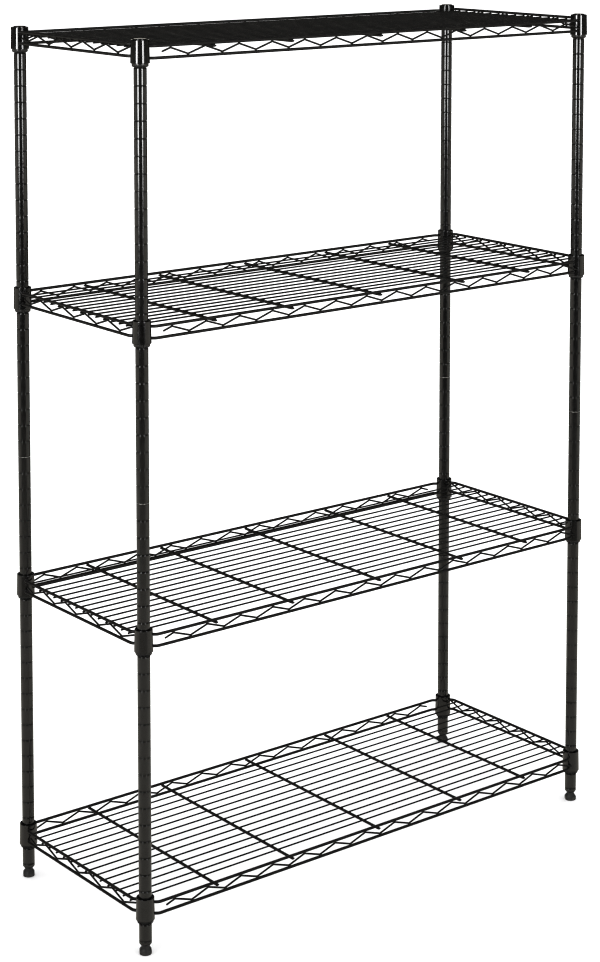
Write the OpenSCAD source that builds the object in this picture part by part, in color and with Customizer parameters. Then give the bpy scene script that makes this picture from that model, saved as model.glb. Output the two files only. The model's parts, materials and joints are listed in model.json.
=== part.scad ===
// Wire shelving rack: four welded wire shelves on four grooved two-piece posts.
// Units are millimetres, +Z is up, X runs along the shelf, the origin is the
// centre of the base on the floor. Front is -Y, left is -X.

/* [Rack] */
// Distance between post centres along the shelf
span_x = 887; // [600:1:1200]
// Distance between post centres from front to back
span_y = 328.6; // [250:0.2:600]
// Groove that holds the lowest shelf, counted from the joint in the post
lowest_groove = -24; // [-25:1:-20]
// Grooves between the first and second shelf
low_bay = 16; // [8:1:18]
// Grooves between the second and third shelf
middle_bay = 18; // [8:1:20]
// Grooves between the third and fourth shelf
top_bay = 16; // [8:1:18]

/* [Posts] */
// Outside diameter of the tube
post_d = 19.05; // [15:0.05:30]
// Wall of the tube
post_wall = 1.2; // [0.8:0.1:2]
// Distance between grooves
groove_pitch = 25.4; // [20:0.1:30]
// Depth of a groove
groove_depth = 0.5; // [0.3:0.1:0.8]
// Width of a groove at the surface
groove_w = 2.4; // [1.5:0.1:4]
// Length of a lower tube
lower_l = 665.5; // [500:0.5:900]
// Length of an upper tube
upper_l = 673.1; // [500:0.1:900]

/* [Collars and sleeves] */
// Height of a shelf collar
collar_h = 34; // [25:0.5:50]
// Outside diameter of a collar at its lower edge
collar_d = 28.3; // [24:0.1:40]
// Wall of a collar
collar_wall = 1.9; // [1:0.1:3]
// How much the radius of a collar shrinks from bottom to top
taper = 0.75; // [0.3:0.05:1.5]
// Height of the sleeve's inner ridge above the lower edge of the collar
ridge_h = 19.05; // [5:0.05:30]
// Height of the sleeve lip that shows below the collar
lip_h = 5; // [2:0.5:10]
// Depth of the sleeve's top below the rim of the collar
sleeve_recess = 1.5; // [0.5:0.5:5]
// Turn of the gap between the two sleeve halves on the second shelf
seam_turn = 28.5; // [0:0.5:180]

/* [Shelf wires] */
// Diameter of the rails and cross wires
rail_d = 4.6; // [3:0.1:6]
// Diameter of the truss wires
truss_d = 3; // [1.6:0.1:4]
// Diameter of the deck wires
deck_d = 2.7; // [1.6:0.1:4]
// Distance of the rails outside the line between post centres
rail_out = 10.5; // [6:0.1:12]
// Height of the lower long rail above the lower edge of the collar
rail_low = 7.2; // [4:0.1:12]
// Height between the upper and lower rail of one side
rail_gap = 17.4; // [12:0.1:30]
// Distance between deck wires
deck_pitch = 20.7; // [15:0.1:30]
// Distance between the two outermost deck wires of each edge
deck_edge_pitch = 18.4; // [10:0.1:30]
// Distance from the middle to the inner cross wires
cross_inner = 175; // [100:1:250]
// Distance from the middle to the outer cross wires
cross_outer = 320; // [250:1:420]
// Length of one wave of the long truss wires
long_wave = 61.6; // [40:0.1:80]
// Distance from the post centre to the first top bend of the long truss
long_first = 46; // [30:0.5:60]
// Distance from a deck wire to the nearest top bend of the short truss
short_clear = 9.4; // [9:0.1:10]

/* [Feet] */
// Height of the foot and insert that show below the tube
foot_h = 16.5; // [10:0.5:30]
// Width of the foot across its corners
foot_d = 20.8; // [16:0.2:40]
// Diameter of the neck of the foot
neck_d = 12.2; // [10:0.2:16]
// Diameter of the foot's stud
stud_d = 8; // [6:1:12]

/* [Hidden] */
$fn = 64;

half_x = span_x / 2;
half_y = span_y / 2;
post_r = post_d / 2;
bore_r = post_r - post_wall;
fit_gap = 0.025;           // clearance of plugs, studs and tapered sleeves
touch = 0.02;              // gap at each weld, so that no two wires share space
joint_z = foot_h + lower_l;
groove_n = floor(lower_l / groove_pitch);
end_chamfer = 0.5;         // bevel at each cut end of a tube

// Corners in the order front left, front right, back left, back right
CORNERS = [[-1, -1], [1, -1], [-1, 1], [1, 1]];
// Groove that holds the ridges of each shelf's sleeves, bottom shelf first
SHELF_GROOVES = [
    lowest_groove,
    lowest_groove + low_bay,
    lowest_groove + low_bay + middle_bay,
    lowest_groove + low_bay + middle_bay + top_bay
];

collar_r = collar_d / 2;
collar_bore = collar_r - collar_wall;
cut_edge = 0.5;            // bevel on the rims of the collar
slope = taper / collar_h;
sleeve_gap = 0.05;         // play between a sleeve and the post
ridge_w = groove_w - 0.6;
ridge_depth = groove_depth - sleeve_gap;
lip_bevel = 2;
lip_edge = 0.5;
seam_gap = 1.6;            // angle left open at each seam of the sleeve
seam_step = 40;            // turn of the seams from one shelf to the next

long_low = rail_low;
long_high = long_low + rail_gap;
cross_z = long_high - rail_d - touch;
deck_z = cross_z + rail_d / 2 + deck_d / 2 + touch;
short_high = deck_z + deck_d / 2 + rail_d / 2 + touch;
short_low = short_high - rail_gap;
wire_end = rail_out + rail_d / 2 + 0.2;
bend_lap = 0.18;           // how far a wire runs past each bend, as a share of its diameter
bend_peak = 1.1;           // outer edge of a truss bend, as a share of the wire's radius
truss_base = rail_d / 2 + bend_peak * truss_d / 2 + touch;
truss_rise = rail_gap - 2 * truss_base;
rail_bend = 17.5;          // where the rail turns in, measured from the post centre
rail_tip = [9.5, 5.5];     // end of the turned-in piece, before the collar trims it
deck_inner = 6;            // evenly spaced deck wires on each side of the middle one
deck_half = deck_inner * deck_pitch + deck_edge_pitch;
short_wave = 3 * deck_pitch;
short_first = half_y - deck_half + deck_edge_pitch + deck_pitch + short_clear;
long_bends = 28;
short_bends = 10;

insert_h = 18;
insert_flange = 3.2;
insert_tip_r = 6.6;
foot_seat = 0.2;           // gap between the neck and the insert when screwed home
pad_rim_h = 6;
pad_edge = 1.6;
pad_solid = 4;             // thickness of the pad below the stud
neck_from = 10.6;
neck_flare = 0.7;
plug_h = 16;
stud_reach = 14;
cap_head = 4;
cap_bevel = 1.3;
cap_plug = 10;

// Height of the lower edge of the collars of shelf number i, counted from 0
function collar_z(i) = joint_z + SHELF_GROOVES[i] * groove_pitch - ridge_h;

// Outline of one groove on the right side of a tube, at height z
function groove_outline(z) = [
    [post_r, z - groove_w / 2],
    [post_r - groove_depth, z - groove_w / 4],
    [post_r - groove_depth, z + groove_w / 4],
    [post_r, z + groove_w / 2]
];

// Points of a truss wire in its own plane: distance along the side, height.
// It starts at half height a quarter wave before its first bend.
function truss_points(first, wave, bends, high_first) = concat(
    [[first - wave / 4, truss_rise / 2]],
    [for (i = [0 : bends - 1]) [first + i * wave / 2, (i + high_first) % 2 * truss_rise]]
);

module at_corners() {
    for (c = CORNERS) translate([c[0] * half_x, c[1] * half_y, 0]) children();
}

module at_corner(k) {
    translate([CORNERS[k][0] * half_x, CORNERS[k][1] * half_y, 0]) children();
}

// The shelf is the same when it is turned half way round
module both_sides() {
    children();
    rotate([0, 0, 180]) children();
}

// A round bar from point a to point b that runs past both by lap
module rod(a, b, d, lap) {
    v = b - a;
    length = norm(v);
    translate(a)
        rotate([0, acos(v[2] / length), atan2(v[1], v[0])])
            translate([0, 0, -lap]) cylinder(h = length + 2 * lap, d = d);
}

// A tube with grooves at each pitch, counted up from groove number first
module grooved_tube(z0, length, first, last) {
    outline = concat(
        [[bore_r, z0], [post_r - end_chamfer, z0], [post_r, z0 + end_chamfer]],
        [for (k = [first : last]) each groove_outline(joint_z + k * groove_pitch)],
        [[post_r, z0 + length - end_chamfer], [post_r - end_chamfer, z0 + length], [bore_r, z0 + length]]
    );
    rotate_extrude() polygon(outline);
}

module lower_post(k) {
    color("dimgray") at_corner(k) grooved_tube(foot_h, lower_l, -groove_n, -1);
}

module upper_post(k) {
    color("dimgray") at_corner(k) grooved_tube(joint_z, upper_l, 1, groove_n);
}

// Plug pressed into the top of a post, with a flat bevelled head
module post_caps() {
    top = joint_z + upper_l;
    color("black") at_corners() rotate_extrude() polygon([
        [0, top - cap_plug],
        [bore_r - fit_gap, top - cap_plug],
        [bore_r - fit_gap, top],
        [post_r, top],
        [post_r, top + cap_head - cap_bevel],
        [post_r - cap_bevel, top + cap_head],
        [0, top + cap_head]
    ]);
}

// Threaded plug in the top end of each lower tube
module joint_sockets() {
    color("silver") at_corners() translate([0, 0, joint_z - plug_h]) difference() {
        cylinder(h = plug_h, r = bore_r - fit_gap);
        translate([0, 0, -1]) cylinder(h = plug_h + 2, r = stud_d / 2 + fit_gap);
    }
}

// Plug and screw in the bottom end of each upper tube
module joint_studs() {
    color("silver") at_corners() translate([0, 0, joint_z]) {
        translate([0, 0, touch]) cylinder(h = plug_h, r = bore_r - fit_gap);
        translate([0, 0, -stud_reach]) cylinder(h = stud_reach + 1, d = stud_d);
    }
}

// Threaded insert in the bottom end of each lower tube
module foot_inserts() {
    hole_r = stud_d / 2 + fit_gap;
    color("black") at_corners() translate([0, 0, foot_h]) rotate_extrude() polygon([
        [hole_r, -insert_flange],
        [insert_tip_r, -insert_flange],
        [post_r - end_chamfer, -touch],
        [bore_r - fit_gap, -touch],
        [bore_r - fit_gap, insert_h],
        [hole_r, insert_h]
    ]);
}

// One half of the tapered sleeve on each post, side 0 or 1, for shelf i
module sleeve(i, side) {
    post_side = post_r + sleeve_gap;
    top = collar_h - sleeve_recess;
    lip_r = collar_bore - fit_gap;
    seam = seam_turn + seam_step * (i - 1) + 180 * side;
    outline = [
        [post_side, -lip_h],
        [post_side + lip_edge, -lip_h],
        [lip_r, -lip_h + lip_bevel],
        [lip_r, 0],
        [lip_r - slope * top, top],
        [post_side, top],
        [post_side, ridge_h + ridge_w / 2],
        [post_r - ridge_depth, ridge_h + ridge_w / 4],
        [post_r - ridge_depth, ridge_h - ridge_w / 4],
        [post_side, ridge_h - ridge_w / 2]
    ];
    color("black") at_corners() translate([0, 0, collar_z(i)])
        rotate([0, 0, seam + seam_gap / 2])
            rotate_extrude(angle = 180 - seam_gap) polygon(outline);
}

module collars(i) {
    color("dimgray") at_corners() translate([0, 0, collar_z(i)]) rotate_extrude() polygon([
        [collar_bore, 0],
        [collar_r - cut_edge, 0],
        [collar_r - slope * cut_edge, cut_edge],
        [collar_r - taper + slope * cut_edge, collar_h - cut_edge],
        [collar_r - taper - cut_edge, collar_h],
        [collar_bore - taper, collar_h]
    ]);
}

// Space taken by the collars of a shelf, which trims the wires welded to them
module collar_space() {
    at_corners() cylinder(h = collar_h, r1 = collar_r + touch, r2 = collar_r - taper + touch);
}

// Rail between two posts, along X from the first post centre. Its ends turn in towards +Y.
module rail(length) {
    rod([rail_bend, 0, 0], [length - rail_bend, 0, 0], rail_d, 0);
    rail_end();
    translate([length, 0, 0]) mirror([1, 0, 0]) rail_end();
}

// Bend and turned-in piece at the start of a rail
module rail_end() {
    bend = [rail_bend, 0, 0];
    rod([rail_tip[0], rail_tip[1], 0], bend, rail_d, 0);
    translate(bend) sphere(d = rail_d);
}

module long_rails(i) {
    color("dimgray") translate([0, 0, collar_z(i)]) difference() {
        both_sides() for (z = [long_low, long_high])
            translate([-half_x, -half_y - rail_out, z]) rail(span_x);
        collar_space();
    }
}

module short_rails(i) {
    color("dimgray") translate([0, 0, collar_z(i)]) difference() {
        both_sides() for (z = [short_low, short_high])
            translate([-half_x - rail_out, half_y, z]) rotate([0, 0, -90]) rail(span_y);
        collar_space();
    }
}

// Truss wire in the XZ plane, along X from the first post centre
module truss(points) {
    bends = [for (p = points) [p[0], 0, truss_base + p[1]]];
    for (i = [1 : len(bends) - 1]) rod(bends[i - 1], bends[i], truss_d, bend_lap * truss_d);
}

module truss_wires(i) {
    long_points = truss_points(long_first, long_wave, long_bends, 1);
    short_points = truss_points(short_first - short_wave / 2, short_wave, short_bends, 0);
    color("dimgray") translate([0, 0, collar_z(i)]) difference() {
        both_sides() {
            translate([-half_x, -half_y - rail_out, long_low]) truss(long_points);
            translate([-half_x - rail_out, -half_y, short_low]) rotate([0, 0, 90]) truss(short_points);
        }
        collar_space();
    }
}

module deck_wires(i) {
    inner = [for (k = [-deck_inner : deck_inner]) k * deck_pitch];
    length = span_x + 2 * wire_end;
    color("dimgray") translate([-length / 2, 0, collar_z(i) + deck_z])
        for (y = concat([-deck_half], inner, [deck_half]))
            translate([0, y, 0]) rotate([0, 90, 0]) cylinder(h = length, d = deck_d);
}

module cross_wires(i) {
    length = span_y + 2 * wire_end;
    color("dimgray") translate([0, length / 2, collar_z(i) + cross_z])
        for (x = [-cross_outer, -cross_inner, 0, cross_inner, cross_outer])
            translate([x, 0, 0]) rotate([90, 0, 0]) cylinder(h = length, d = rail_d);
}

// Foot pad: hexagonal rim, flared top and round neck, with a hole for the stud
module foot_pad(k) {
    neck_top = foot_h - insert_flange - foot_seat;
    color("black") at_corner(k) difference() {
        intersection() {
            cylinder(h = neck_top, d = foot_d, $fn = 6);
            rotate_extrude() polygon([
                [0, 0],
                [foot_d / 2 - pad_edge, 0],
                [foot_d / 2, pad_edge],
                [foot_d / 2, pad_rim_h],
                [neck_d / 2 + neck_flare, neck_from],
                [neck_d / 2, neck_from + neck_flare],
                [neck_d / 2, neck_top],
                [0, neck_top]
            ]);
        }
        translate([0, 0, pad_solid]) cylinder(h = neck_top, d = stud_d + 2 * fit_gap);
    }
}

// Threaded stud moulded into the pad and screwed into the insert
module foot_stud(k) {
    from = pad_solid + fit_gap;
    color("silver") at_corner(k) translate([0, 0, from]) cylinder(h = foot_h + insert_h - from, d = stud_d);
}

lower_post(0);  // lower_post_fl
lower_post(1);  // lower_post_fr
lower_post(2);  // lower_post_bl
lower_post(3);  // lower_post_br
upper_post(0);  // upper_post_fl
upper_post(1);  // upper_post_fr
upper_post(2);  // upper_post_bl
upper_post(3);  // upper_post_br
post_caps();
joint_sockets();
joint_studs();
foot_inserts();
sleeve(0, 0);  // sleeve_a_1
sleeve(0, 1);  // sleeve_b_1
sleeve(1, 0);  // sleeve_a_2
sleeve(1, 1);  // sleeve_b_2
sleeve(2, 0);  // sleeve_a_3
sleeve(2, 1);  // sleeve_b_3
sleeve(3, 0);  // sleeve_a_4
sleeve(3, 1);  // sleeve_b_4
collars(0);  // collars_1
long_rails(0);  // long_rails_1
short_rails(0);  // short_rails_1
truss_wires(0);  // truss_wires_1
deck_wires(0);  // deck_wires_1
cross_wires(0);  // cross_wires_1
collars(1);  // collars_2
long_rails(1);  // long_rails_2
short_rails(1);  // short_rails_2
truss_wires(1);  // truss_wires_2
deck_wires(1);  // deck_wires_2
cross_wires(1);  // cross_wires_2
collars(2);  // collars_3
long_rails(2);  // long_rails_3
short_rails(2);  // short_rails_3
truss_wires(2);  // truss_wires_3
deck_wires(2);  // deck_wires_3
cross_wires(2);  // cross_wires_3
collars(3);  // collars_4
long_rails(3);  // long_rails_4
short_rails(3);  // short_rails_4
truss_wires(3);  // truss_wires_4
deck_wires(3);  // deck_wires_4
cross_wires(3);  // cross_wires_4
foot_pad(0);  // foot_pad_fl
foot_pad(1);  // foot_pad_fr
foot_pad(2);  // foot_pad_bl
foot_pad(3);  // foot_pad_br
foot_stud(0);  // foot_stud_fl
foot_stud(1);  // foot_stud_fr
foot_stud(2);  // foot_stud_bl
foot_stud(3);  // foot_stud_br
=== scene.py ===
"""Looks for the wire shelving rack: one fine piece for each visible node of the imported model.

Lengths are metres. X runs along the shelves, +Y to the back, +Z up.
"""

import json
import math
import random

import bmesh
import bpy
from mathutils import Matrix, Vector

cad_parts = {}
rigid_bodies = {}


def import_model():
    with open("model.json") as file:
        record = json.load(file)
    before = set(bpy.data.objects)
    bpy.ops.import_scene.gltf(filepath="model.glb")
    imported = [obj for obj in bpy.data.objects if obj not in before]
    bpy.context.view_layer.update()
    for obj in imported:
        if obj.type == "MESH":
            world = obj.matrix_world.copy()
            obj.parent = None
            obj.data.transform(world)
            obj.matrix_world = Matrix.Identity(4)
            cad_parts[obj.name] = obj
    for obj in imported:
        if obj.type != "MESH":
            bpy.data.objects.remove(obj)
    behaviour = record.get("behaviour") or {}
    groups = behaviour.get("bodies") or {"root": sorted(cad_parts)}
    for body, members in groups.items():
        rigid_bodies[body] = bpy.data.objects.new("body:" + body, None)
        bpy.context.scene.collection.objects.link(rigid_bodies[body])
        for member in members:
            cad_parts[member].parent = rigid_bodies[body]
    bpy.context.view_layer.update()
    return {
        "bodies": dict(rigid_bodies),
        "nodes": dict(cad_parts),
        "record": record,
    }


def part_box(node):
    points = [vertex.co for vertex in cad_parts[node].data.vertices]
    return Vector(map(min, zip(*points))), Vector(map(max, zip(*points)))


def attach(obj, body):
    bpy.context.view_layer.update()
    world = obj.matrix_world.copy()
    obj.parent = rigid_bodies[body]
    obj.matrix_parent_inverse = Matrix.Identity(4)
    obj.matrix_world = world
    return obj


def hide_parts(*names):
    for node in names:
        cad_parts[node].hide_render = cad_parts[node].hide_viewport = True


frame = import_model()
bodies = frame["record"]["behaviour"]["bodies"]
BODY_OF = {node: body for body, nodes in bodies.items() for node in nodes}
CORNERS = ("fl", "fr", "bl", "br")
SHELVES = (1, 2, 3, 4)
random.seed(11)

# ---------------------------------------------------------------- driving sizes

MM = 0.001
GROOVE_PITCH = 25.4 * MM
GROOVE_DEPTH = 0.5 * MM
GROOVE_WIDTH = 2.4 * MM
POST_WALL = 1.2 * MM
COLLAR_WALL = 1.9 * MM
COLLAR_TAPER = 0.75 * MM
RAIL_WIRE = 4.6 * MM
TRUSS_WIRE = 3.0 * MM
DECK_WIRE = 2.7 * MM
RAIL_BEND = 17.5 * MM             # where a rail turns in, from the post centre
RAIL_END = (11.5 * MM, 4.5 * MM)  # its welded end: from the post centre along the rail, inwards
RAIL_BEND_RADIUS = 9.0 * MM
LONG_WAVE = 61.6 * MM
LONG_FIRST = 46.0 * MM            # first top bend of the long truss, from the post centre
LONG_BENDS = 28
SHORT_BENDS = 10
SHORT_CLEAR = 9.4 * MM            # from a deck wire to the nearest top bend of the short truss
TRUSS_BEND_RADIUS = 2.6 * MM
TRUSS_BITE = 0.25 * MM            # how deep a truss bend sinks into a rail at its weld
DECK_PITCH = 20.7 * MM
DECK_EDGE_PITCH = 18.4 * MM
DECK_INNER = 6                    # even spaces on each side of the middle deck wire
CROSS_INNER = 175.0 * MM
SLEEVE_CLEAR = 0.05 * MM          # between a sleeve and its post, and a sleeve and its collar
SLEEVE_RIDGE = 19.05 * MM         # about how far the ridge in a sleeve is above its collar's base
SEAM_TURN = math.radians(28.5)    # turn of the sleeve seams on the second shelf
SEAM_STEP = math.radians(40.0)    # further turn of the seams from one shelf to the next
SEAM_GAP = math.radians(5.0)
INSERT_HOLE = 4.05 * MM           # radius of the hole in a foot insert
THREAD_PITCH = 1.25 * MM
THREAD_DEPTH = 0.7 * MM

# Pressed end of a cross wire: its length, and what its width and height are multiplied by
PRESSED_END = (5 * MM, 1.3, 0.72)

# Weld beads: half-length, half-width and half-height
WIRE_BEAD = (1.9 * MM, 1.5 * MM, 0.9 * MM)
TRUSS_BEAD = (2.3 * MM, 1.2 * MM, 0.8 * MM)
COLLAR_BEAD = (3.4 * MM, 1.9 * MM, 2.3 * MM)
COLLAR_BEAD_SHARE = 0.55          # how far along the turned-in end of a rail its bead lies
BEAD_ROUGHNESS = 0.07

# Sides of round shapes
TURNED_SIDES = 48
COLLAR_SIDES = 64
SLEEVE_SIDES = 24
RAIL_SIDES = 16
WIRE_SIDES = 12
PAD_SIDES = 72
STUD_SIDES = 32

UP = Vector((0, 0, 1))


# ---------------------------------------------------------------- mesh building


class Shape:
    """Vertices and faces gathered for one piece, with a material number for each face."""

    def __init__(self):
        self.points = []
        self.faces = []
        self.numbers = []

    def add(self, points, faces):
        first = len(self.points)
        self.points.extend(tuple(p) for p in points)
        self.faces.extend(tuple(first + i for i in face) for face in faces)
        self.numbers.extend([0] * len(faces))

    def join(self, other):
        first = len(self.points)
        self.points.extend(other.points)
        self.faces.extend(tuple(first + i for i in face) for face in other.faces)
        self.numbers.extend(other.numbers)


def ring_faces(rings, sides, wrap=False):
    """Quads between rings of the same number of points; wrap joins the last ring to the first."""
    faces = []
    for i in range(rings if wrap else rings - 1):
        a = i * sides
        b = (i + 1) % rings * sides
        for j in range(sides):
            k = (j + 1) % sides
            faces.append((a + j, a + k, b + k, b + j))
    return faces


def lathe(outline, centre, sides=TURNED_SIDES):
    """A closed outline of (radius, height) points, turned once round a vertical line at centre."""
    shape = Shape()
    points = []
    for radius, height in outline:
        for j in range(sides):
            turn = 2 * math.pi * j / sides
            x = centre[0] + radius * math.cos(turn)
            y = centre[1] + radius * math.sin(turn)
            points.append((x, y, height))
    shape.add(points, ring_faces(len(outline), sides, wrap=True))
    return shape


def solid_lathe(outline, centre, sides=TURNED_SIDES, radius_at=None):
    """A solid turned from an outline that runs from the bottom to the top, closed by a flat
    disc at each end. radius_at, if given, changes the radius at a height and turn."""
    shape = Shape()
    points = []
    for radius, height in outline:
        for j in range(sides):
            turn = 2 * math.pi * j / sides
            reach = radius_at(radius, height, turn) if radius_at else radius
            x = centre[0] + reach * math.cos(turn)
            y = centre[1] + reach * math.sin(turn)
            points.append((x, y, height))
    faces = ring_faces(len(outline), sides)
    faces.append(tuple(range(sides)))
    last = (len(outline) - 1) * sides
    faces.append(tuple(range(last, last + sides)))
    shape.add(points, faces)
    return shape


def part_lathe(outline, centre, start, sweep, sides=SLEEVE_SIDES):
    """A closed outline turned through part of a circle, with both cut ends closed."""
    shape = Shape()
    points = []
    count = len(outline)
    for i in range(sides + 1):
        turn = start + sweep * i / sides
        for radius, height in outline:
            x = centre[0] + radius * math.cos(turn)
            y = centre[1] + radius * math.sin(turn)
            points.append((x, y, height))
    faces = ring_faces(sides + 1, count)
    faces.append(tuple(range(count)))
    last = sides * count
    faces.append(tuple(range(last, last + count)))
    shape.add(points, faces)
    return shape


def rounded(points, radius, steps=5):
    """The path through points with each inner corner replaced by an arc."""
    path = [Vector(points[0])]
    for before, corner, after in zip(points, points[1:], points[2:]):
        corner = Vector(corner)
        towards = (Vector(before) - corner).normalized()
        away = (Vector(after) - corner).normalized()
        half = towards.angle(away) / 2
        setback = radius / math.tan(half)
        middle = corner + (towards + away).normalized() * (radius / math.sin(half))
        first = corner + towards * setback - middle
        last = corner + away * setback - middle
        for i in range(steps + 1):
            path.append(middle + first.slerp(last, i / steps).normalized() * radius)
    path.append(Vector(points[-1]))
    return path


def tube(path, radius, sides=WIRE_SIDES, tips=None):
    """A round wire along path. Its cut ends are bevelled. tips, if given, is
    (length, width factor, height factor) of the pressed flats at both ends."""
    path = [Vector(p) for p in path]
    bevel = 0.25 * radius
    cut_size = 0.7
    start = (path[1] - path[0]).normalized()
    finish = (path[-1] - path[-2]).normalized()
    stations = [(path[0], start, cut_size), (path[0] + start * bevel, start, 1)]
    for before, here, after in zip(path, path[1:], path[2:]):
        along = ((here - before).normalized() + (after - here).normalized()).normalized()
        stations.append((here, along, 1))
    stations.append((path[-1] - finish * bevel, finish, 1))
    stations.append((path[-1], finish, cut_size))
    if tips:
        stations = add_tip_stations(stations, path, tips[0])

    points = []
    for where, along, size in stations:
        side = along.cross(UP).normalized()
        top = side.cross(along).normalized()
        wide, high = tip_size(where, path, tips)
        reach = radius * size
        for j in range(sides):
            turn = 2 * math.pi * (j + 0.5) / sides
            across = side * (reach * wide * math.cos(turn))
            upwards = top * (reach * high * math.sin(turn))
            points.append(where + across + upwards)
    faces = ring_faces(len(stations), sides)
    faces.append(tuple(range(sides)))
    last = (len(stations) - 1) * sides
    faces.append(tuple(range(last, last + sides)))
    shape = Shape()
    shape.add(points, faces)
    return shape


def add_tip_stations(stations, path, length):
    """Rings along both ends of a straight wire, so that its ends can change shape smoothly."""
    start = (path[1] - path[0]).normalized()
    finish = (path[-1] - path[-2]).normalized()
    shares = (0.25, 0.5, 0.75, 1.0)
    front = [(path[0] + start * (length * s), start, 1) for s in shares]
    back = [(path[-1] - finish * (length * s), finish, 1) for s in reversed(shares)]
    return stations[:2] + front + stations[2:-2] + back + stations[-2:]


def tip_size(where, path, tips):
    """Width and height factors of a wire at a point: changed near its pressed ends, 1 elsewhere."""
    if not tips:
        return 1, 1
    length, wide, high = tips
    near = min((where - path[0]).length, (where - path[-1]).length)
    share = max(0.0, 1 - near / length)
    share = share * share * (3 - 2 * share)
    return 1 + (wide - 1) * share, 1 + (high - 1) * share


def bead(centre, along, size):
    """A weld bead: a slightly uneven ellipsoid. size is its half-length along the
    direction given, its half-width and its half-height."""
    along = Vector(along).normalized()
    side = along.cross(UP).normalized()
    top = side.cross(along)
    rings = 7
    sides = 8
    points = []
    for i in range(rings):
        lift = math.pi * (i + 0.5) / rings - math.pi / 2
        for j in range(sides):
            turn = 2 * math.pi * j / sides
            rough = 1 + random.uniform(-BEAD_ROUGHNESS, BEAD_ROUGHNESS)
            forwards = size[0] * math.sin(lift)
            across = size[1] * math.cos(lift) * math.cos(turn) * rough
            upwards = size[2] * math.cos(lift) * math.sin(turn) * rough
            points.append(Vector(centre) + along * forwards + side * across + top * upwards)
    faces = ring_faces(rings, sides)
    faces.append(tuple(range(sides)))
    last = (rings - 1) * sides
    faces.append(tuple(range(last, last + sides)))
    shape = Shape()
    shape.add(points, faces)
    return shape


def face_outwards(mesh):
    """Turns every face of a closed mesh to the outside."""
    work = bmesh.new()
    work.from_mesh(mesh)
    bmesh.ops.recalc_face_normals(work, faces=work.faces)
    work.to_mesh(mesh)
    work.free()


def make_piece(name, shape, body, materials, stands_for=(), crease=32):
    """Turns a shape into a Blender object that rides on a body. Edges sharper than crease,
    in degrees, stay sharp in shading."""
    mesh = bpy.data.meshes.new(name)
    mesh.from_pydata(shape.points, [], shape.faces)
    face_outwards(mesh)
    for material in materials:
        mesh.materials.append(material)
    mesh.polygons.foreach_set("material_index", shape.numbers)
    mesh.polygons.foreach_set("use_smooth", [True] * len(mesh.polygons))
    mesh.set_sharp_from_angle(angle=math.radians(crease))
    mesh.update()
    piece = bpy.data.objects.new(name, mesh)
    bpy.context.scene.collection.objects.link(piece)
    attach(piece, body)
    if stands_for:
        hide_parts(*stands_for)


def make_node_piece(node, shape, *materials):
    """The fine piece that stands for one CAD node."""
    make_piece(node + "_fine", shape, BODY_OF[node], materials, (node,))


# ---------------------------------------------------------------- places taken from the frame

post_axis = {}
for corner in CORNERS:
    low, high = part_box("lower_post_" + corner)
    post_axis[corner] = ((low.x + high.x) / 2, (low.y + high.y) / 2)
    post_radius = (high.x - low.x) / 2
    joint_height = high.z
half_x = abs(post_axis["fl"][0])
half_y = abs(post_axis["fl"][1])
bore_radius = post_radius - POST_WALL


# ---------------------------------------------------------------- materials

DUST = (0.06, 0.058, 0.054)
RUBBED_EPOXY = (0.16, 0.155, 0.145)
SCUFFED_PLASTIC = (0.07, 0.068, 0.064)
PLASTIC_IOR = 1.46


class Nodes:
    """Short names for building one node tree."""

    def __init__(self, tree):
        self.tree = tree

    def new(self, kind):
        return self.tree.nodes.new("ShaderNode" + kind)

    def link(self, output, target):
        self.tree.links.new(output, target)

    def calculate(self, operation, *values):
        """The result of a math operation on numbers and outputs."""
        node = self.new("Math")
        node.operation = operation
        for socket, value in zip(node.inputs, values):
            if isinstance(value, (int, float)):
                socket.default_value = value
            else:
                self.link(value, socket)
        return node.outputs["Value"]

    def times(self, first, second):
        return self.calculate("MULTIPLY", first, second)

    def ramp(self, value, start, end, low=0.0, high=1.0):
        """A smooth step from low, where value is at start, to high, where it is at end."""
        node = self.new("MapRange")
        node.interpolation_type = "SMOOTHSTEP"
        node.inputs["From Min"].default_value = start
        node.inputs["From Max"].default_value = end
        node.inputs["To Min"].default_value = low
        node.inputs["To Max"].default_value = high
        self.link(value, node.inputs["Value"])
        return node.outputs["Result"]

    def mix(self, share, first, second):
        """A blend of two colours or colour outputs: first at share 0 and second at share 1."""
        node = self.new("Mix")
        node.data_type = "RGBA"
        self.link(share, node.inputs["Factor"])
        for name, colour in (("A", first), ("B", second)):
            socket = [s for s in node.inputs if s.name == name and s.type == "RGBA"][0]
            if isinstance(colour, tuple):
                socket.default_value = (*colour, 1)
            else:
                self.link(colour, socket)
        return [s for s in node.outputs if s.type == "RGBA"][0]


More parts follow.
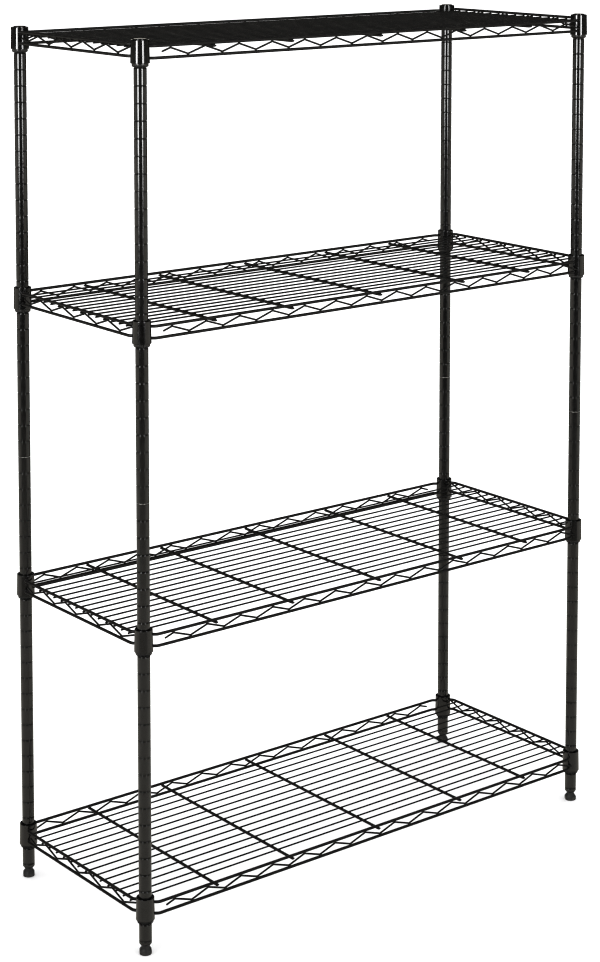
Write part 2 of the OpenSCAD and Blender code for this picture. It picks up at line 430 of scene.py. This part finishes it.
class Coat(Nodes):
    """One procedural material."""

    def __init__(self, name):
        self.material = bpy.data.materials.new(name)
        self.material.use_nodes = True
        super().__init__(self.material.node_tree)
        self.surface = self.tree.nodes["Principled BSDF"]
        self.place = self.new("TexCoord").outputs["Object"]

    def noise(self, scale, detail=3.0, stretch=(1, 1, 1)):
        """Noise with features about 1 / scale metres wide."""
        mapping = self.new("Mapping")
        mapping.inputs["Scale"].default_value = stretch
        node = self.new("TexNoise")
        node.inputs["Scale"].default_value = scale
        node.inputs["Detail"].default_value = detail
        self.link(self.place, mapping.inputs["Vector"])
        self.link(mapping.outputs["Vector"], node.inputs["Vector"])
        return node.outputs["Fac"]

    def specks(self, scale, size):
        """Small round dots, 1 inside a dot and 0 outside."""
        node = self.new("TexVoronoi")
        node.inputs["Scale"].default_value = scale
        self.link(self.place, node.inputs["Vector"])
        return self.ramp(node.outputs["Distance"], size, size * 0.5)

    def edges(self, start, end):
        """1 on sharp outer edges and 0 on flat or hollow surfaces."""
        geometry = self.new("NewGeometry")
        return self.ramp(geometry.outputs["Pointiness"], start, end)

    def bump(self, *layers):
        """Adds bump from (height output, strength, depth in metres) layers."""
        normal = None
        for height, strength, depth in layers:
            node = self.new("Bump")
            node.inputs["Strength"].default_value = strength
            node.inputs["Distance"].default_value = depth
            self.link(height, node.inputs["Height"])
            if normal:
                self.link(normal, node.inputs["Normal"])
            normal = node.outputs["Normal"]
        self.link(normal, self.surface.inputs["Normal"])


def epoxy_coat(name, tones, roughness, peel, rubbed=0.0, shine=0.5):
    """Baked black epoxy on steel: orange peel, mottled gloss, dust specks. tones and roughness
    are (low, high) pairs. peel is the strength of the orange peel. rubbed is how far the coat
    has worn through on sharp edges; wires have none, so theirs is 0."""
    n = Coat(name)
    colour = n.mix(n.ramp(n.noise(90, 4), 0.35, 0.7), *tones)
    dust = n.times(n.specks(420, 0.16), n.ramp(n.noise(35), 0.5, 0.62))
    colour = n.mix(n.times(dust, 0.3), colour, DUST)
    if rubbed:
        wear = n.times(n.edges(0.53, 0.6), n.ramp(n.noise(240, 2), 0.45, 0.6))
        colour = n.mix(n.times(wear, rubbed), colour, RUBBED_EPOXY)
    n.link(colour, n.surface.inputs["Base Color"])
    n.link(n.ramp(n.noise(160, 4), 0.3, 0.75, *roughness), n.surface.inputs["Roughness"])
    n.surface.inputs["Specular IOR Level"].default_value = shine
    n.bump((n.noise(650, 2), peel, 0.25 * MM), (n.noise(2600, 2), peel * 0.5, 0.06 * MM))
    return n.material


def moulded_plastic(name, tones, roughness, grain):
    """Injection-moulded black plastic: fine spark-eroded grain and scuffed edges."""
    n = Coat(name)
    colour = n.mix(n.ramp(n.noise(120, 5), 0.3, 0.75), *tones)
    colour = n.mix(n.times(n.edges(0.54, 0.64), 0.3), colour, SCUFFED_PLASTIC)
    n.link(colour, n.surface.inputs["Base Color"])
    n.link(n.ramp(n.noise(300, 4), 0.3, 0.7, *roughness), n.surface.inputs["Roughness"])
    n.surface.inputs["IOR"].default_value = PLASTIC_IOR
    n.bump((n.noise(1800, 3), grain, 0.12 * MM), (n.noise(200, 2), grain * 0.4, 0.3 * MM))
    return n.material


def foot_nylon(tones, roughness, grain):
    """Black nylon of the feet, paler and duller where it has rubbed the floor."""
    n = Coat("foot_nylon")
    separate = n.new("SeparateXYZ")
    n.link(n.place, separate.inputs["Vector"])
    near_floor = n.ramp(separate.outputs["Z"], 4 * MM, 0.0)
    scuff = n.times(near_floor, n.ramp(n.noise(420, 4), 0.4, 0.65))
    colour = n.mix(n.ramp(n.noise(150, 4), 0.3, 0.7), *tones)
    colour = n.mix(n.times(scuff, 0.5), colour, DUST)
    n.link(colour, n.surface.inputs["Base Color"])
    n.link(n.ramp(n.noise(260, 4), 0.3, 0.7, *roughness), n.surface.inputs["Roughness"])
    n.surface.inputs["Specular IOR Level"].default_value = 0.3
    n.bump((n.noise(1500, 3), grain, 0.12 * MM), (n.noise(300, 2), grain * 0.4, 0.3 * MM))
    return n.material


def bright_steel(name, tones, roughness, stretch):
    """Bare or zinc-plated steel with fine turning marks and dull spots."""
    n = Coat(name)
    n.surface.inputs["Metallic"].default_value = 0.9
    n.link(n.mix(n.ramp(n.noise(500, 5), 0.3, 0.7), *tones), n.surface.inputs["Base Color"])
    marks = n.noise(900, 3, (1, 1, stretch))
    n.link(n.ramp(marks, 0.3, 0.7, *roughness), n.surface.inputs["Roughness"])
    n.bump((marks, 0.25, 0.08 * MM))
    return n.material


post_coat = epoxy_coat(
    "post_epoxy",
    tones=((0.0018, 0.0018, 0.0017), (0.0032, 0.0031, 0.0029)),
    roughness=(0.1, 0.17),
    peel=0.07,
    rubbed=0.25,
)
collar_coat = epoxy_coat(
    "collar_epoxy",
    tones=((0.0015, 0.0015, 0.0014), (0.0026, 0.0025, 0.0024)),
    roughness=(0.1, 0.17),
    peel=0.07,
    rubbed=0.2,
)
wire_coat = epoxy_coat(
    "wire_epoxy",
    tones=((0.0038, 0.0037, 0.0034), (0.0058, 0.0056, 0.0051)),
    roughness=(0.36, 0.5),
    peel=0.06,
    shine=0.15,
)
weld_coat = epoxy_coat(
    "weld_epoxy",
    tones=((0.0014, 0.0014, 0.0013), (0.0026, 0.0025, 0.0024)),
    roughness=(0.38, 0.52),
    peel=0.3,
    shine=0.1,
)
sleeve_plastic = moulded_plastic(
    "sleeve_plastic",
    tones=((0.003, 0.003, 0.003), (0.006, 0.006, 0.0058)),
    roughness=(0.2, 0.32),
    grain=0.25,
)
cap_plastic = moulded_plastic(
    "cap_plastic",
    tones=((0.003, 0.003, 0.003), (0.005, 0.005, 0.0048)),
    roughness=(0.08, 0.14),
    grain=0.1,
)
foot_plastic = foot_nylon(
    tones=((0.011, 0.011, 0.0105), (0.018, 0.0177, 0.0168)),
    roughness=(0.34, 0.5),
    grain=0.3,
)
joint_steel = bright_steel(
    "rubbed_joint_steel",
    tones=((0.2, 0.195, 0.185), (0.42, 0.41, 0.39)),
    roughness=(0.25, 0.4),
    stretch=6,
)
zinc = bright_steel(
    "zinc_plate",
    tones=((0.42, 0.42, 0.4), (0.62, 0.62, 0.6)),
    roughness=(0.28, 0.42),
    stretch=4,
)


# ---------------------------------------------------------------- posts


def groove_outline(height):
    """Outer outline of one rolled groove: a smooth hollow with soft shoulders. A ring close
    outside each shoulder keeps the long faces between grooves flat in shading."""
    guard = GROOVE_WIDTH / 2 + 0.25 * MM
    steps = 8
    points = [(post_radius, height - guard)]
    for i in range(steps + 1):
        share = 2 * i / steps - 1
        depth = GROOVE_DEPTH * (0.5 + 0.5 * math.cos(math.pi * share))
        points.append((post_radius - depth, height + share * GROOVE_WIDTH / 2))
    points.append((post_radius, height + guard))
    return points


def post_tube(node, bright_end):
    """One tube of a post. bright_end is -1 or 1: the end with a rubbed bevel, at the joint."""
    low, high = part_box(node)
    centre = ((low.x + high.x) / 2, (low.y + high.y) / 2)
    bevel = 0.5 * MM
    guard = 1.5 * bevel
    outer = [
        (post_radius - bevel, low.z),
        (post_radius, low.z + bevel),
        (post_radius, low.z + guard),
    ]
    count = int((high.z - low.z) / GROOVE_PITCH)
    numbers = range(1, count + 1) if bright_end < 0 else range(-count, 0)
    for k in numbers:
        outer += groove_outline(joint_height + k * GROOVE_PITCH)
    outer += [
        (post_radius, high.z - guard),
        (post_radius, high.z - bevel),
        (post_radius - bevel, high.z),
    ]
    shape = lathe(outer + [(bore_radius, high.z), (bore_radius, low.z)], centre)
    bevel_row = 0 if bright_end < 0 else len(outer) - 2
    for j in range(TURNED_SIDES):
        shape.numbers[bevel_row * TURNED_SIDES + j] = 1
    make_node_piece(node, shape, post_coat, joint_steel)


def cap_outline(low, high, top_of_tube):
    """Outline of a post cap: a plug in the tube, a seat on it, a rounded rim and a faint crown."""
    edge = 1.3 * MM
    edge_steps = 5
    seat_bevel = 0.15 * MM
    crown = 0.25 * MM
    rim = high - crown
    points = [
        (bore_radius - 0.5 * MM, low),
        (bore_radius, low + 0.6 * MM),
        (bore_radius, top_of_tube),
        (post_radius - seat_bevel, top_of_tube),
        (post_radius, top_of_tube + seat_bevel),
    ]
    for i in range(edge_steps + 1):
        turn = math.pi / 2 * i / edge_steps
        across = post_radius - edge + edge * math.cos(turn)
        points.append((across, rim - edge + edge * math.sin(turn)))
    points.append((post_radius * 0.55, rim + crown * 0.6))
    points.append((post_radius * 0.2, high))
    return points


def insert_outline(low, high, bottom_of_tube):
    """Outline of a foot insert: its hole, its bevelled nose below the tube and its body inside."""
    hole_bevel = 0.3 * MM
    nose = 6.6 * MM
    return [
        (INSERT_HOLE, low + hole_bevel),
        (INSERT_HOLE + hole_bevel, low),
        (nose, low),
        (nose + 0.35 * MM, low + 0.2 * MM),
        (post_radius - 0.9 * MM, bottom_of_tube - 0.5 * MM),
        (post_radius - 0.6 * MM, bottom_of_tube - 0.15 * MM),
        (post_radius - 0.7 * MM, bottom_of_tube),
        (bore_radius, bottom_of_tube),
        (bore_radius, high),
        (INSERT_HOLE, high),
    ]


def build_posts():
    for corner in CORNERS:
        post_tube("lower_post_" + corner, 1)
        post_tube("upper_post_" + corner, -1)
    low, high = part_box("post_caps")
    outline = cap_outline(low.z, high.z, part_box("upper_post_fl")[1].z)
    caps = Shape()
    for corner in CORNERS:
        caps.join(solid_lathe(outline, post_axis[corner]))
    make_node_piece("post_caps", caps, cap_plastic)

    low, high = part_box("foot_inserts")
    outline = insert_outline(low.z, high.z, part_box("lower_post_fl")[0].z)
    inserts = Shape()
    for corner in CORNERS:
        inserts.join(lathe(outline, post_axis[corner]))
    make_node_piece("foot_inserts", inserts, foot_plastic)


# ---------------------------------------------------------------- collars and sleeves


def build_collars(shelf):
    low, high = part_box(f"collars_{shelf}")
    outer = high.x - half_x
    bore = outer - COLLAR_WALL
    height = high.z - low.z
    edge = 0.7 * MM
    edge_share = edge / height
    guard = 1.4 * edge_share
    steps = 4

    def at(radius, share, inset=0.0):
        """A point on the tapered wall, share of the way up and inset from it."""
        return (radius - COLLAR_TAPER * share - inset, low.z + height * share)

    outline = [at(bore, 0, -0.3 * MM), at(outer, 0, edge)]
    for i in range(1, steps + 1):
        turn = math.pi / 2 * i / steps
        share = edge_share * (1 - math.cos(turn))
        outline.append(at(outer, share, edge * (1 - math.sin(turn))))
    outline += [at(outer, guard), at(outer, 1 - guard)]
    for i in range(steps + 1):
        turn = math.pi / 2 * i / steps
        share = 1 - edge_share * (1 - math.sin(turn))
        outline.append(at(outer, share, edge * (1 - math.cos(turn))))
    outline += [
        at(bore, 1, -0.4 * MM),
        at(bore, 1 - edge_share * 0.5),
        at(bore, edge_share * 0.5),
    ]
    shape = Shape()
    for corner in CORNERS:
        shape.join(lathe(outline, post_axis[corner], COLLAR_SIDES))
    make_node_piece(f"collars_{shelf}", shape, collar_coat)


def sleeve_outline(low, base, top, outer, slope):
    """Outline of a sleeve: a lip from low to base below the collar, a taper up to top, and an
    inner ridge that sits in a groove of the post."""
    inner = post_radius + SLEEVE_CLEAR
    top_outer = outer - slope * (top - base)
    bevel = 0.3 * MM
    ridge = joint_height + round((base + SLEEVE_RIDGE - joint_height) / GROOVE_PITCH) * GROOVE_PITCH
    ridge_depth = 0.4 * MM
    ridge_half = 0.9 * MM
    crest_half = 0.4 * MM
    return [
        (inner, low + 0.2 * MM),
        (inner + bevel, low),
        (inner + 1.3 * MM, low),
        (outer - 0.25 * MM, low + 1.0 * MM),
        (outer, low + 1.5 * MM),
        (outer, base - 0.2 * MM),
        (outer, base),
        (top_outer, top - 0.4 * MM),
        (top_outer - 0.4 * MM, top),
        (inner + bevel, top),
        (inner, top - bevel),
        (inner, ridge + ridge_half),
        (inner - ridge_depth, ridge + crest_half),
        (inner - ridge_depth, ridge - crest_half),
        (inner, ridge - ridge_half),
    ]


def build_sleeves(shelf):
    collar_low, collar_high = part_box(f"collars_{shelf}")
    bore = collar_high.x - half_x - COLLAR_WALL
    slope = COLLAR_TAPER / (collar_high.z - collar_low.z)
    for side, letter in enumerate("ab"):
        low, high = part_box(f"sleeve_{letter}_{shelf}")
        outline = sleeve_outline(low.z, collar_low.z, high.z, bore - SLEEVE_CLEAR, slope)
        start = SEAM_TURN + SEAM_STEP * (shelf - 2) + math.pi * side + SEAM_GAP / 2
        shape = Shape()
        for corner in CORNERS:
            shape.join(part_lathe(outline, post_axis[corner], start, math.pi - SEAM_GAP))
        make_node_piece(f"sleeve_{letter}_{shelf}", shape, sleeve_plastic)


# ---------------------------------------------------------------- shelf wires


def turned(points):
    """The same points after half a turn round the middle of the rack."""
    return [(-p[0], -p[1], p[2]) for p in points]


def rail_path(length):
    """Path of a rail along X from the first post centre, in its own plane: x, inward, 0."""
    ends = [
        (RAIL_END[0], RAIL_END[1], 0),
        (RAIL_BEND, 0, 0),
        (length - RAIL_BEND, 0, 0),
        (length - RAIL_END[0], RAIL_END[1], 0),
    ]
    return rounded(ends, RAIL_BEND_RADIUS)


def truss_path(first, wave, bends, high_first, rise):
    """Zigzag along X from the first post centre: x, 0, height. high_first is 1 if its first
    bend is a top one and 0 if it is a bottom one."""
    points = [(first - wave / 4, 0, rise / 2)]
    for i in range(bends):
        points.append((first + i * wave / 2, 0, (i + high_first) % 2 * rise))
    return points


class ShelfPlan:
    """Where the wires of one shelf lie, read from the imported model."""

    def __init__(self, shelf):
        self.shelf = shelf
        low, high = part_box(f"long_rails_{shelf}")
        self.long_y = low.y + RAIL_WIRE / 2
        self.long_z = (low.z + RAIL_WIRE / 2, high.z - RAIL_WIRE / 2)
        low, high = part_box(f"short_rails_{shelf}")
        self.short_x = low.x + RAIL_WIRE / 2
        self.short_z = (low.z + RAIL_WIRE / 2, high.z - RAIL_WIRE / 2)
        low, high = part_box(f"deck_wires_{shelf}")
        self.deck_x = (low.x, high.x)
        self.deck_z = (low.z + high.z) / 2
        inner = [k * DECK_PITCH for k in range(-DECK_INNER, DECK_INNER + 1)]
        edge = DECK_INNER * DECK_PITCH + DECK_EDGE_PITCH
        self.deck_y = [-edge, *inner, edge]
        low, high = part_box(f"cross_wires_{shelf}")
        outer = high.x - RAIL_WIRE / 2
        self.cross_x = [-outer, -CROSS_INNER, 0, CROSS_INNER, outer]
        self.cross_y = (low.y, high.y)
        self.cross_z = (low.z + high.z) / 2
        self.truss_gap = RAIL_WIRE / 2 + TRUSS_WIRE / 2 - TRUSS_BITE

    def long_truss(self):
        rise = self.long_z[1] - self.long_z[0] - 2 * self.truss_gap
        base = self.long_z[0] + self.truss_gap
        points = truss_path(LONG_FIRST, LONG_WAVE, LONG_BENDS, 1, rise)
        return [(p[0] - half_x, self.long_y, base + p[2]) for p in points]

    def short_truss(self):
        wave = 3 * DECK_PITCH
        rise = self.short_z[1] - self.short_z[0] - 2 * self.truss_gap
        base = self.short_z[0] + self.truss_gap
        edge = half_y - DECK_INNER * DECK_PITCH - DECK_EDGE_PITCH
        first = edge + DECK_EDGE_PITCH + DECK_PITCH + SHORT_CLEAR - wave / 2
        points = truss_path(first, wave, SHORT_BENDS, 0, rise)
        return [(self.short_x, half_y - p[0], base + p[2]) for p in points]


def build_rails(plan):
    long_rails = Shape()
    for z in plan.long_z:
        path = [(p[0] - half_x, plan.long_y + p[1], z) for p in rail_path(2 * half_x)]
        long_rails.join(tube(path, RAIL_WIRE / 2, RAIL_SIDES))
        long_rails.join(tube(turned(path), RAIL_WIRE / 2, RAIL_SIDES))
    make_node_piece(f"long_rails_{plan.shelf}", long_rails, wire_coat)

    short_rails = Shape()
    for z in plan.short_z:
        path = [(plan.short_x + p[1], p[0] - half_y, z) for p in rail_path(2 * half_y)]
        short_rails.join(tube(path, RAIL_WIRE / 2, RAIL_SIDES))
        short_rails.join(tube(turned(path), RAIL_WIRE / 2, RAIL_SIDES))
    make_node_piece(f"short_rails_{plan.shelf}", short_rails, wire_coat)


def build_wires(plan):
    truss = Shape()
    for points in (plan.long_truss(), plan.short_truss()):
        path = rounded(points, TRUSS_BEND_RADIUS)
        truss.join(tube(path, TRUSS_WIRE / 2))
        truss.join(tube(turned(path), TRUSS_WIRE / 2))
    make_node_piece(f"truss_wires_{plan.shelf}", truss, wire_coat)

    deck = Shape()
    for y in plan.deck_y:
        ends = [(x, y, plan.deck_z) for x in plan.deck_x]
        deck.join(tube(ends, DECK_WIRE / 2))
    make_node_piece(f"deck_wires_{plan.shelf}", deck, wire_coat)

    cross = Shape()
    for x in plan.cross_x:
        ends = [(x, y, plan.cross_z) for y in plan.cross_y]
        cross.join(tube(ends, RAIL_WIRE / 2, RAIL_SIDES, PRESSED_END))
    make_node_piece(f"cross_wires_{plan.shelf}", cross, wire_coat)


def weld_spots(plan):
    """(place, direction, size) of every weld bead of one shelf."""
    along_x = (1, 0, 0)
    along_y = (0, 1, 0)
    spots = []
    crossing = plan.cross_z + RAIL_WIRE / 2
    for x in plan.cross_x:
        for y in plan.deck_y:
            spots.append(((x, y, crossing), along_x, WIRE_BEAD))
        for y in (plan.long_y, -plan.long_y):
            spots.append(((x, y, crossing), along_y, WIRE_BEAD))
    under_rail = plan.deck_z + DECK_WIRE / 2
    for y in plan.deck_y:
        for x in (plan.short_x, -plan.short_x):
            spots.append(((x, y, under_rail), along_x, WIRE_BEAD))
    spots += truss_welds(plan.long_truss(), along_x, plan.long_z)
    spots += truss_welds(plan.short_truss(), along_y, plan.short_z)
    return spots + collar_welds(plan)


def truss_welds(points, along, rails):
    """Beads where the bends of a truss wire, and of the one opposite, touch their rails."""
    spots = []
    for p in points[1:-1]:
        rail = min(rails, key=lambda z: abs(z - p[2]))
        place = (p[0], p[1], rail + math.copysign(RAIL_WIRE / 2, p[2] - rail))
        for spot in (place, *turned([place])):
            spots.append((spot, along, TRUSS_BEAD))
    return spots


def collar_welds(plan):
    """Beads where the turned-in rail ends meet the collars."""
    spots = []
    inward = RAIL_END[1] * COLLAR_BEAD_SHARE
    along = RAIL_BEND - (RAIL_BEND - RAIL_END[0]) * COLLAR_BEAD_SHARE
    slant = RAIL_END[1] / (RAIL_BEND - RAIL_END[0])
    for sx in (-1, 1):
        for sy in (-1, 1):
            for z in plan.long_z:
                place = (sx * (half_x - along), sy * (-plan.long_y - inward), z)
                spots.append((place, (sx, -sy * slant, 0), COLLAR_BEAD))
            for z in plan.short_z:
                place = (sx * (-plan.short_x - inward), sy * (half_y - along), z)
                spots.append((place, (-sx * slant, sy, 0), COLLAR_BEAD))
    return spots


def build_welds(plan):
    shape = Shape()
    for place, along, size in weld_spots(plan):
        shape.join(bead(place, along, size))
    name = f"weld_beads_{plan.shelf}"
    body = f"shelf_{plan.shelf}"
    make_piece(name, shape, body, (weld_coat,), crease=80)


# ---------------------------------------------------------------- feet


def build_pad(corner):
    """The pad of a foot: a six-sided rim that flares up into a round neck."""
    low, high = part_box("foot_pad_" + corner)
    reach = (high.x - low.x) / 2
    flat = reach * math.cos(math.pi / 6)
    softened = 0.09  # radians on each side of a corner of the rim
    edge = 1.6 * MM
    rim = 6.0 * MM
    neck = 6.1 * MM
    neck_from = 10.6 * MM
    ease = 0.3 * MM
    nick = 0.2 * MM

    def hexagon(radius, height, turn):
        """Keeps a turned radius inside the six-sided rim, whose corners are softened."""
        from_corner = abs((turn + math.pi / 6) % (math.pi / 3) - math.pi / 6)
        from_flat_middle = math.pi / 6 - max(from_corner, softened)
        return min(radius, flat / math.cos(from_flat_middle))

    outline = [
        (reach - edge - ease, 0.0),
        (reach - edge + nick, nick),
        (reach - ease, edge - nick),
        (reach, edge + ease),
        (reach, rim - ease),
        (reach - 0.25 * MM, rim + nick),
        (neck + 0.9 * MM, neck_from - 0.5 * MM),
        (neck + 0.25 * MM, neck_from + 0.1 * MM),
        (neck, neck_from + 0.8 * MM),
        (neck, high.z - ease),
        (neck - ease, high.z),
    ]
    pad = solid_lathe(outline, post_axis[corner], PAD_SIDES, hexagon)
    make_node_piece("foot_pad_" + corner, pad, foot_plastic)


def build_stud(corner):
    """The stud of a foot, with a right-hand thread."""
    low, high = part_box("foot_stud_" + corner)
    radius = (high.x - low.x) / 2
    rows_per_turn = 8

    def thread(crest, height, turn):
        """Radius of the thread at one height and turn."""
        phase = (height / THREAD_PITCH - turn / (2 * math.pi)) % 1
        return crest - THREAD_DEPTH * abs(2 * phase - 1)

    steps = int((high.z - low.z) / THREAD_PITCH * rows_per_turn)
    rows = [(radius, low.z + (high.z - low.z) * i / steps) for i in range(steps + 1)]
    stud = solid_lathe(rows, post_axis[corner], STUD_SIDES, thread)
    make_node_piece("foot_stud_" + corner, stud, zinc)


# ---------------------------------------------------------------- assembly

build_posts()
for shelf in SHELVES:
    shelf_plan = ShelfPlan(shelf)
    build_collars(shelf)
    build_sleeves(shelf)
    build_rails(shelf_plan)
    build_wires(shelf_plan)
    build_welds(shelf_plan)
for corner in CORNERS:
    build_pad(corner)
    build_stud(corner)
for node in ("joint_sockets", "joint_studs"):
    for material_slot in frame["nodes"][node].material_slots:
        material_slot.material = zinc


# ---------------------------------------------------------------- floor, light and camera

CAMERA_PLACE = Vector((-2.237, -2.797, 1.600))
CAMERA_TURN = math.radians(-38.38)
CAMERA_PITCH = math.radians(5.0)
CAMERA_LENS = 83.49
CAMERA_SHIFT = -0.4333
CAMERA_BEARING = math.atan2(CAMERA_PLACE.y, CAMERA_PLACE.x)  # from the middle of the rack
XYZ_MODE = 1                     # what a driver reads for the XYZ rotation mode
PIXEL_FILTER = 1.1               # in pixels, sharper than Blender's own because wires are thin

LIGHT_DISTANCE = 3.5
LIGHT_TURN = math.radians(34.5)  # of each softbox, seen from the rack, away from the camera
SOFTBOX_WIDTH = 1.0
SOFTBOX_HEIGHT = 1.5
SOFTBOX_LOWEST = 0.75
SOFTBOX_SPREAD = math.radians(50)
LEFT_POWER = 11.0                # watts
RIGHT_POWER = 10.0

# What reflections see. A facing is 1 towards the camera and -1 behind the rack, and a height
# is the sine of the angle above the horizon. A band fades in between its first two numbers
# and fades out between its last two.
SIDE_FACING = (0.78, 0.56, -0.35, -0.75)
FLOOR_HEIGHT = (-0.035, -0.12, -0.42, -0.6)
FRONT_HEIGHT = (-0.22, -0.34)
FRONT_SHARE = 0.9
FLOOR_GLOW = 0.7
WALL_FACING = (-0.95, -0.985)
WALL_HEIGHT = (0.03, 0.05, 0.12, 0.15)
DIFFUSE_GLOW = 1.5
PLAIN_TINT = (1.0, 1.0, 1.0)
WARM_TINT = (1.0, 0.95, 0.84)


def build_floor():
    """A wide, plain, pale floor. It stays under the lowest foot when a foot is screwed out."""
    reach = 60.0
    corners = [(-reach, -reach, 0), (reach, -reach, 0), (reach, reach, 0), (-reach, reach, 0)]
    mesh = bpy.data.meshes.new("floor")
    mesh.from_pydata(corners, [], [(0, 1, 2, 3)])
    item = bpy.data.objects.new("floor", mesh)
    bpy.context.scene.collection.objects.link(item)
    n = Coat("pale_floor")
    tone = n.mix(n.ramp(n.noise(1.5, 2), 0.3, 0.7), (0.9, 0.9, 0.9), (0.93, 0.93, 0.93))
    n.link(tone, n.surface.inputs["Base Color"])
    n.surface.inputs["Roughness"].default_value = 0.9
    n.surface.inputs["Specular IOR Level"].default_value = 0.1
    mesh.materials.append(n.material)
    item.visible_glossy = False
    height = item.driver_add("location", 2).driver
    height.type = "SCRIPTED"
    feet = [body for body in frame["bodies"] if body.startswith("foot_")]
    for body in feet:
        foot = height.variables.new()
        foot.name = body
        foot.type = "SINGLE_PROP"
        foot.targets[0].id = frame["bodies"][body]
        foot.targets[0].data_path = "location[2]"
    height.expression = f"min({', '.join(feet)})"


def build_camera():
    """The camera. Its shift frames this view only, and is 0 when something else turns the
    camera by another rotation mode, so that other views show the whole rack."""
    camera = bpy.data.cameras.new("camera")
    camera.lens = CAMERA_LENS
    camera.sensor_width = 36.0
    camera.clip_end = 200.0
    item = bpy.data.objects.new("camera", camera)
    bpy.context.scene.collection.objects.link(item)
    item.location = CAMERA_PLACE
    item.rotation_mode = "XYZ"
    item.rotation_euler = (math.pi / 2 - CAMERA_PITCH, 0, CAMERA_TURN)
    bpy.context.scene.camera = item
    shift = camera.driver_add("shift_y").driver
    shift.type = "SCRIPTED"
    mode = shift.variables.new()
    mode.name = "mode"
    mode.type = "SINGLE_PROP"
    mode.targets[0].id_type = "OBJECT"
    mode.targets[0].id = item
    mode.targets[0].data_path = "rotation_mode"
    shift.expression = f"{CAMERA_SHIFT} if mode == {XYZ_MODE} else 0"


def softbox(name, side, power):
    """An upright softbox with a grid, beside the camera: side is -1 for left and 1 for right.
    It draws the bright lines on the upper posts and the sparks in the grooves."""
    light = bpy.data.lights.new(name, "AREA")
    light.shape = "RECTANGLE"
    light.size = SOFTBOX_WIDTH
    light.size_y = SOFTBOX_HEIGHT
    light.spread = SOFTBOX_SPREAD
    light.energy = power
    item = bpy.data.objects.new(name, light)
    bpy.context.scene.collection.objects.link(item)
    bearing = CAMERA_BEARING + side * LIGHT_TURN
    place = Vector((math.cos(bearing), math.sin(bearing), 0)) * LIGHT_DISTANCE
    place.z = SOFTBOX_LOWEST + SOFTBOX_HEIGHT / 2
    item.location = place
    item.rotation_euler = Vector((-place.x, -place.y, 0)).to_track_quat("-Z", "Y").to_euler()
    item.visible_camera = False


def look_direction(n):
    """The facing and the height that a ray looks in."""
    direction = n.new("SeparateXYZ")
    n.link(n.new("TexCoord").outputs["Generated"], direction.inputs["Vector"])
    x, y, height = direction.outputs
    towards_x = n.times(x, math.cos(CAMERA_BEARING))
    towards_y = n.times(y, math.sin(CAMERA_BEARING))
    towards = n.calculate("ADD", towards_x, towards_y)
    level = n.calculate("SQRT", n.calculate("ADD", n.times(x, x), n.times(y, y)))
    above_zero = n.calculate("MAXIMUM", level, 0.001)
    return n.calculate("DIVIDE", towards, above_zero), height


def band(n, value, start, full, full_to, end):
    """1 where value is between full and full_to, 0 beyond start and end."""
    return n.times(n.ramp(value, start, full), n.ramp(value, end, full_to))


def reflected_room(n):
    """Brightness of the room that reflections see."""
    facing, height = look_direction(n)
    front = n.ramp(height, *FRONT_HEIGHT, 0.0, FRONT_SHARE)
    around = n.calculate("MAXIMUM", band(n, facing, *SIDE_FACING), front)
    floor = n.times(n.times(around, band(n, height, *FLOOR_HEIGHT)), FLOOR_GLOW)
    wall = n.times(n.ramp(facing, *WALL_FACING), band(n, height, *WALL_HEIGHT))
    return n.calculate("MAXIMUM", floor, wall)


def build_world():
    """White for the camera. Reflections see a pale, warm floor at both sides and low in front,
    and a wall behind the rack just above its top, and are dark everywhere else."""
    world = bpy.data.worlds.new("studio")
    bpy.context.scene.world = world
    world.use_nodes = True
    n = Nodes(world.node_tree)
    background = n.tree.nodes["Background"]
    path = n.new("LightPath")
    seen = path.outputs["Is Camera Ray"]
    glossy = path.outputs["Is Glossy Ray"]
    other = n.calculate("SUBTRACT", 1.0, n.calculate("MAXIMUM", seen, glossy))
    strength = n.calculate("ADD", seen, n.times(glossy, reflected_room(n)))
    strength = n.calculate("ADD", strength, n.times(other, DIFFUSE_GLOW))
    n.link(strength, background.inputs["Strength"])
    n.link(n.mix(glossy, PLAIN_TINT, WARM_TINT), background.inputs["Color"])


build_floor()
softbox("softbox_left", -1, LEFT_POWER)
softbox("softbox_right", 1, RIGHT_POWER)
build_world()
build_camera()
bpy.context.scene.view_settings.view_transform = "Standard"
bpy.context.scene.cycles.filter_width = PIXEL_FILTER

bpy.context.view_layer.update()
